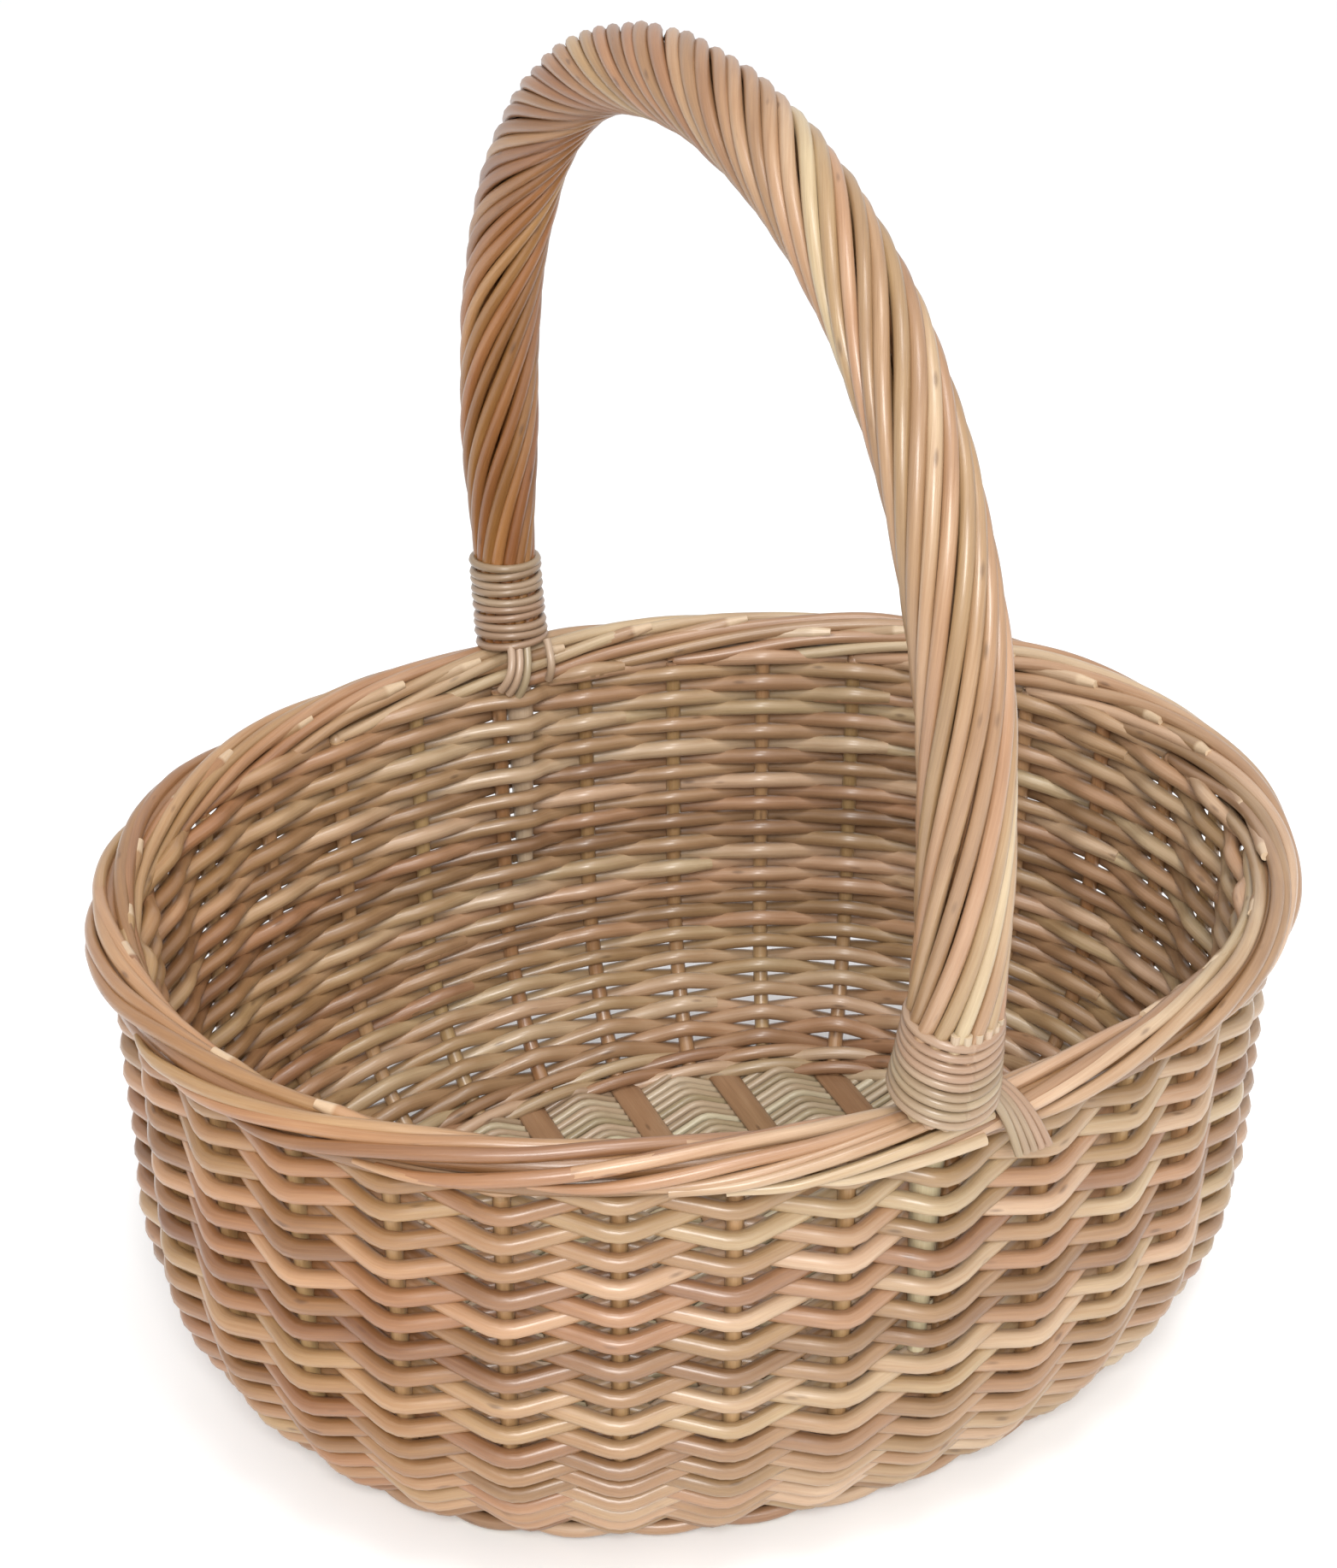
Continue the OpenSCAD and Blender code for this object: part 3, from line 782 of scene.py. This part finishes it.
n_bow = 300
d_bow = np.linspace(0.5, 2 * BOW_HALF - 0.5, n_bow)
share_bow = d_bow / (2 * BOW_HALF)
turn_step = np.tan(np.radians(np.interp(share_bow, TWIST_PLACES, TWIST))) / STRAND_RING
mean_step = (turn_step[1:] + turn_step[:-1]) / 2
strand_turn = np.concatenate([[0], np.cumsum(mean_step * np.diff(d_bow))])
strand_painted_shade = np.interp(share_bow, PAINTED_SHADE_PLACES, PAINTED_SHADE)
axis_p, axis_out = bow(d_bow)
axis_side = np.cross(unit_rows(np.gradient(axis_p, axis=0)), axis_out)


def ease(x):
    x = np.clip(x, 0, 1)
    return x * x * (3 - 2 * x)


near_open = ease((d_bow - COLLAR_LEN + NECK_START) / NEAR_SPREAD)
far_open = ease((2 * BOW_HALF - d_bow - COLLAR_LEN + NECK_START) / FAR_SPREAD)
ring_at = (STRAND_RING - (STRAND_RING - NEAR_NECK) * (1 - near_open)
           - (STRAND_RING - FAR_NECK) * (1 - far_open))


def handle_strand(group, phase, ring, r, tone):
    """A rod twisted along the whole bow at distance ring from its centre line."""
    a = phase + strand_turn + wobble(n_bow, 5, 0.05)
    rho = ring * (1 + wobble(n_bow, 6, 0.02))
    direction = axis_out * np.cos(a)[:, None] + axis_side * np.sin(a)[:, None]
    p = axis_p + direction * rho[:, None]
    group.rod(p, r * (1 + wobble(n_bow, 4, 0.06)), direction, tone=tone, painted_shade=strand_painted_shade)


wrap = Rods("handle_wrap_strands")
for i in range(STRANDS):
    tone = random_tone(0.36, 0.25)
    handle_strand(wrap, TAU * i / STRANDS, ring_at, STRAND_R * rng.uniform(0.93, 1.08), tone)
wrap.build(buff, "handle_wrap_rods")

inner = Rods("handle_inner_strands", sides=8)
for i in range(INNER_STRANDS):
    phase = TAU * (i + 0.3) / INNER_STRANDS
    # the inner strands get a dark tone of the golden willow as painted shade in the gaps between the
    # outer strands
    handle_strand(inner, phase, ring_at * INNER_RING, STRAND_R, 0.2)
inner.build(golden, slot="golden_willow")

WALL_POINTS, BOW_POINTS = 22, 10     # path points of the core in the wall and in the handle
core = Rods("handle_core_rod", sides=14)
for near in (True, False):
    s = np.linspace(WALL_LEN - CORE_IN_WALL, WALL_LEN - 3, WALL_POINTS)
    u = round_u(CORE_K) + (0.5 if near else 0)
    below, _ = surf(np.full(WALL_POINTS, u), s, np.full(WALL_POINTS, MID_W))
    d = np.linspace(4, 40, BOW_POINTS)
    above, _ = bow(d if near else 2 * BOW_HALF - d)
    r = np.concatenate([core_radius(s), np.full(BOW_POINTS, CORE_R)])
    core.rod(smooth(np.concatenate([below, above]), 6), r, (1, 0, 0), tone=0.6)
core.build(pale, "handle_core", slot="pale_willow")

# ---- collars ----
ROUND_POINTS = 48
NEAR_LIFT, FAR_LIFT = 3.6, -0.8      # from the foot to the bottom of the lowest round
NEAR_RINGS = (15.0, 13.2)            # radius of the lowest and the highest round
FAR_RINGS = (11.8, 11.5)
NEAR_DIP, FAR_DIP = 1.1, 0.0         # how far the rounds sink on the outer side
NEAR_TILT, FAR_TILT = 0.3, 0.6
DIP_AT = -0.15                       # angle of the dip


def collar(name, node, far, rounds, rings, lift, dip_size, tilt_size):
    """Rounds of thin rod bound round a foot of the handle."""
    group = Rods(name, sides=8)
    seed = rng.random(3) * GRAIN_SPREAD
    for i in range(rounds):
        d = lift + (i + 0.5) * BINDER_PITCH
        at = 2 * BOW_HALF - d if far else d
        c, out = bow(np.array([at]))
        c2, _ = bow(np.array([at + 0.5]))
        t = unit(c2[0] - c[0])
        side = np.cross(t, out[0])
        a = np.arange(ROUND_POINTS) * TAU / ROUND_POINTS
        direction = out[0] * np.cos(a)[:, None] + side * np.sin(a)[:, None]
        ring = rings[0] + (rings[1] - rings[0]) * i / (rounds - 1)
        dip = dip_size * np.exp(-((a - DIP_AT + np.pi) % TAU - np.pi) ** 2 / 0.3)
        tilt = tilt_size * np.sin(a + rng.random() * 6)
        p = c[0] + direction * ring + t * (tilt - dip)[:, None]
        group.rod(p, BINDER_D / 2 * rng.uniform(0.96, 1.08), direction, closed=True,
                  tone=0.5 + rng.uniform(-0.12, 0.12), seed=seed + (i * TAU * ring, 0, 0))
    group.build(binding, node, slot="golden_willow")


collar("near_collar_rounds", "near_collar", False, NEAR_ROUNDS, NEAR_RINGS, NEAR_LIFT,
       NEAR_DIP, NEAR_TILT)
collar("far_collar_rounds", "far_collar", True, FAR_ROUNDS, FAR_RINGS, FAR_LIFT,
       FAR_DIP, FAR_TILT)

# near tails: from the collar, over the border and down its outside
NEAR_TAILS = 5
near_foot = np.array([FOOT_X, -FOOT_Y, FOOT_Z])
near_rim = np.array([FOOT_X, -BORDER_B, BORDER_TOP])
TAIL_START, START_STEP = np.array([9, -11, 5.0]), np.array([1.2, 2.6, 0])
TAIL_OVER, OVER_STEP = np.array([15, -1.0, 0.5]), np.array([2.2, 0.9, 0])
TAIL_LOW, LOW_STEP = np.array([21, -1.0, -19]), np.array([2.6, 0.3, 0])

tails = Rods("near_tail_rods", sides=8)
for i in range(NEAR_TAILS):
    start = near_foot + TAIL_START + i * START_STEP
    over = near_rim + TAIL_OVER + i * OVER_STEP
    low = near_rim + TAIL_LOW + i * LOW_STEP
    t = np.linspace(0, 1, 24)[:, None]
    p = (1 - t) ** 2 * start + 2 * t * (1 - t) * over + t * t * low
    tails.rod(p, 1.4, (0, -1, 0.4), tone=0.42)
tails.build(binding, "near_collar_tails", slot="golden_willow")

# far tails: from the collar down the inside of the wall, start and end beside the foot and drop
FAR_TAILS = ((-4.5, -10.0, 15), (-1.5, -7.0, 17), (1.5, -3.5, 19), (9.5, 8.5, 14))

far_tails = Rods("far_tail_rods", sides=8)
for x0, x1, drop in FAR_TAILS:
    t = np.linspace(0, 1, 14)
    y = FOOT_Y - 10.5 - 5.5 * np.sin(t * 2.4)
    z = BORDER_TOP + 3 - drop * t
    p = np.stack([-FOOT_X + x0 + (x1 - x0) * t ** 1.5, y, z], -1)
    far_tails.rod(p, 1.5, (0, -1, 0.2), tone=0.85)
far_tails.build(binding, "far_collar_tails", slot="golden_willow")

# cut ends that stand up out of the top of the near collar
STUBS = 6
STUB_TOP = NEAR_LIFT + NEAR_ROUNDS * BINDER_PITCH
STUB_RING = 12.6
STUB_FIRST, STUB_STEP = 28, 15       # angles round the collar, in degrees

stubs = Rods("near_collar_stubs", sides=8)
for i in range(STUBS):
    c, out = bow(np.array([STUB_TOP - 3, STUB_TOP + rng.uniform(0.9, 2.0)]))
    a = math.radians(STUB_FIRST - STUB_STEP * i)
    direction = out[0] * math.cos(a) - np.cross(unit(c[1] - c[0]), out[0]) * math.sin(a)
    stubs.rod(np.linspace(c[0], c[1], 5) + direction * STUB_RING, 1.5, direction, tone=0.9)
stubs.build(binding, slot="golden_willow")

# rods laid over the border beside the near foot: start, end past the foot, angles in the
# border at both, distance from its centre line, tone
FOOT_RODS = ((-76.8, 9.0, -22, 62, 8.6, 0.62), (-60.8, 12.5, -34, 36, 8.8, 0.75),
             (-38.4, 10.0, -40, -8, 8.4, 0.9))
FOOT_POINTS = 40
FOOT_SINK = 2.2                      # how far a rod starts inside the others
NEAR_U = 0.75                        # share of the way round at the middle of the near side

foot_rods = Rods("near_foot_rods")
for start, end, a0, a1, rho, tone in FOOT_RODS:
    n = FOOT_POINTS
    x = np.linspace(start, end + FOOT_X, n)
    u = NEAR_U + x / (SIDE_R + BORDER_OFF) * (SIDE_R + MID_OFF) / ROUND
    rise = FOOT_SINK * (1 - ease(np.linspace(0, 4, n)))
    p, out = ring_pt(u, np.radians(np.linspace(a0, a1, n)), np.full(n, rho) - rise)
    foot_rods.rod(smooth(p, 3), BORDER_R * np.linspace(0.7, 0.95, n), out, tone=tone)
foot_rods.build(buff, slot="buff_willow")

# ---- floor, light and camera ----
FLOOR_HALF = 6.0                     # metres, as is everything below
FLOOR_GREY = 0.93


def pale_floor():
    h = FLOOR_HALF
    mesh = bpy.data.meshes.new("floor")
    mesh.from_pydata([(-h, -h, 0), (h, -h, 0), (h, h, 0), (-h, h, 0)], [], [(0, 1, 2, 3)])
    obj = bpy.data.objects.new("floor", mesh)
    bpy.context.scene.collection.objects.link(obj)
    mat = bpy.data.materials.new("floor")
    mat.use_nodes = True
    b = mat.node_tree.nodes["Principled BSDF"]
    b.inputs["Base Color"].default_value = (FLOOR_GREY, FLOOR_GREY, FLOOR_GREY, 1)
    b.inputs["Roughness"].default_value = 0.85
    b.inputs["Specular IOR Level"].default_value = 0.1
    mesh.materials.append(mat)


def area(name, place, target, size, power, colour):
    data = bpy.data.lights.new(name, "AREA")
    data.shape = "DISK"
    data.size = size
    data.energy = power
    data.color = colour
    obj = bpy.data.objects.new(name, data)
    obj.location = place
    obj.rotation_mode = "QUATERNION"
    obj.rotation_quaternion = (Vector(target) - Vector(place)).to_track_quat("-Z", "Y")
    bpy.context.scene.collection.objects.link(obj)


pale_floor()
LOOK = (0.0, 0.0, 0.18)
area("key", (-0.75, -1.75, 1.6), LOOK, 0.8, 47, (1.0, 0.99, 0.97))
area("fill", (1.6, -1.1, 1.3), LOOK, 1.2, 4, (1.0, 0.98, 0.96))
area("top", (0.0, -0.6, 2.4), LOOK, 0.9, 22, (0.98, 0.99, 1.0))

world = bpy.data.worlds.new("studio")
bpy.context.scene.world = world
world.use_nodes = True
sky = world.node_tree.nodes["Background"]
sky.inputs["Color"].default_value = (0.97, 0.98, 1.0, 1)
sky.inputs["Strength"].default_value = 0.85

AZIMUTH = math.radians(-23.27)
ELEVATION = math.radians(29.43)
DISTANCE = 1.0454
SHIFT_RIGHT = -0.0104
SHIFT_UP = 0.0195
LENS = 73.96
right = Vector((math.cos(AZIMUTH), math.sin(AZIMUTH), 0))
back = Vector((math.sin(AZIMUTH) * math.cos(ELEVATION), -math.cos(AZIMUTH) * math.cos(ELEVATION),
               math.sin(ELEVATION)))
up = back.cross(right)
aim = Vector(LOOK) + right * SHIFT_RIGHT + up * SHIFT_UP
cam_data = bpy.data.cameras.new("camera")
cam_data.lens = LENS
cam_data.sensor_width = 36
cam_data.clip_start = 0.05
cam_data.clip_end = 50
cam = bpy.data.objects.new("camera", cam_data)
cam.location = aim + back * DISTANCE
cam.rotation_mode = "QUATERNION"
cam.rotation_quaternion = (-back).to_track_quat("-Z", "Y")
bpy.context.scene.collection.objects.link(cam)
bpy.context.scene.camera = cam
bpy.context.scene.view_settings.view_transform = "Standard"
